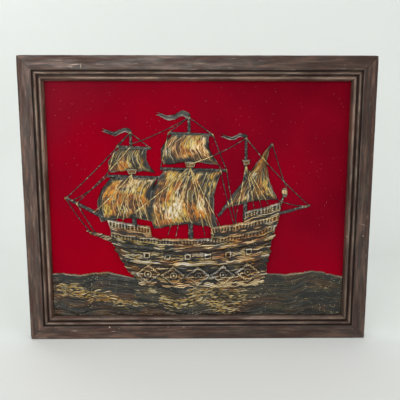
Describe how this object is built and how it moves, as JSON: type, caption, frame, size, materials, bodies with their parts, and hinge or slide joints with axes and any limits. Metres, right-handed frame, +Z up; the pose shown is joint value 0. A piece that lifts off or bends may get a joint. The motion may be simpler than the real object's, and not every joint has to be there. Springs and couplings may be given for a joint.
{
  "type": "framed relief picture",
  "caption": "Framed wall picture of a sailing ship at sea, modelled in raised bronzed paste on a red velvet panel, with a toothed hanger on the back.",
  "frame": {"origin": "middle of the hanger's wall-side face, where the picture hangs", "axes": "+X to the right of someone facing the picture, +Z up, the picture faces -Y and the wall is at +Y"},
  "size_m": [0.578, 0.025, 0.475],
  "materials": {
    "stained_wood": "dark grey-brown stain, worn on the beads",
    "hardboard": "plain brown hardboard",
    "red_velvet": "deep red pile",
    "bronzed_paste": "hardened paste, dark ground brushed with gold",
    "hanger_steel": "plated steel strip"
  },
  "bodies": {
    "root": {"frame_rail_top": "stained_wood", "frame_rail_bottom": "stained_wood", "frame_rail_left": "stained_wood", "frame_rail_right": "stained_wood", "backing_board": "hardboard", "velvet_cover": "red_velvet", "ship_and_sea_relief": "bronzed_paste", "sawtooth_hanger": "hanger_steel"}
  },
  "joints": []
}
